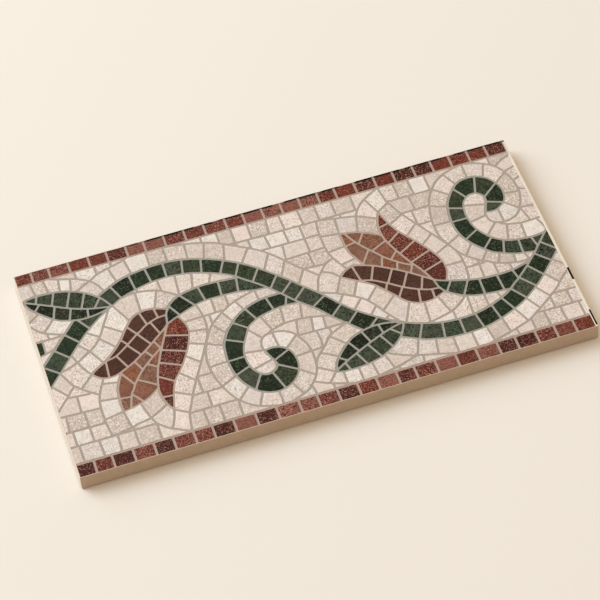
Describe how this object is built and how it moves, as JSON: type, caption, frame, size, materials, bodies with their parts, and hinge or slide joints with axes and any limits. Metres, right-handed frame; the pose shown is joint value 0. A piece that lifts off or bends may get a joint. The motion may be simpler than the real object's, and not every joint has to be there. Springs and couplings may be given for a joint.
{
  "type": "border tile",
  "caption": "Flat rectangular ceramic border tile with a traditional mosaic scroll of vine, leaves and tulips on its face.",
  "frame": {"origin": "centre of the underside, on the plane of its ribs", "axes": "+X along the border, +Y across it, +Z out of the decorated face"},
  "size_m": [0.3, 0.15, 0.0105],
  "materials": {
    "fired_body": "matt"
  },
  "bodies": {
    "root": {"border_tile": "fired_body"}
  },
  "joints": []
}
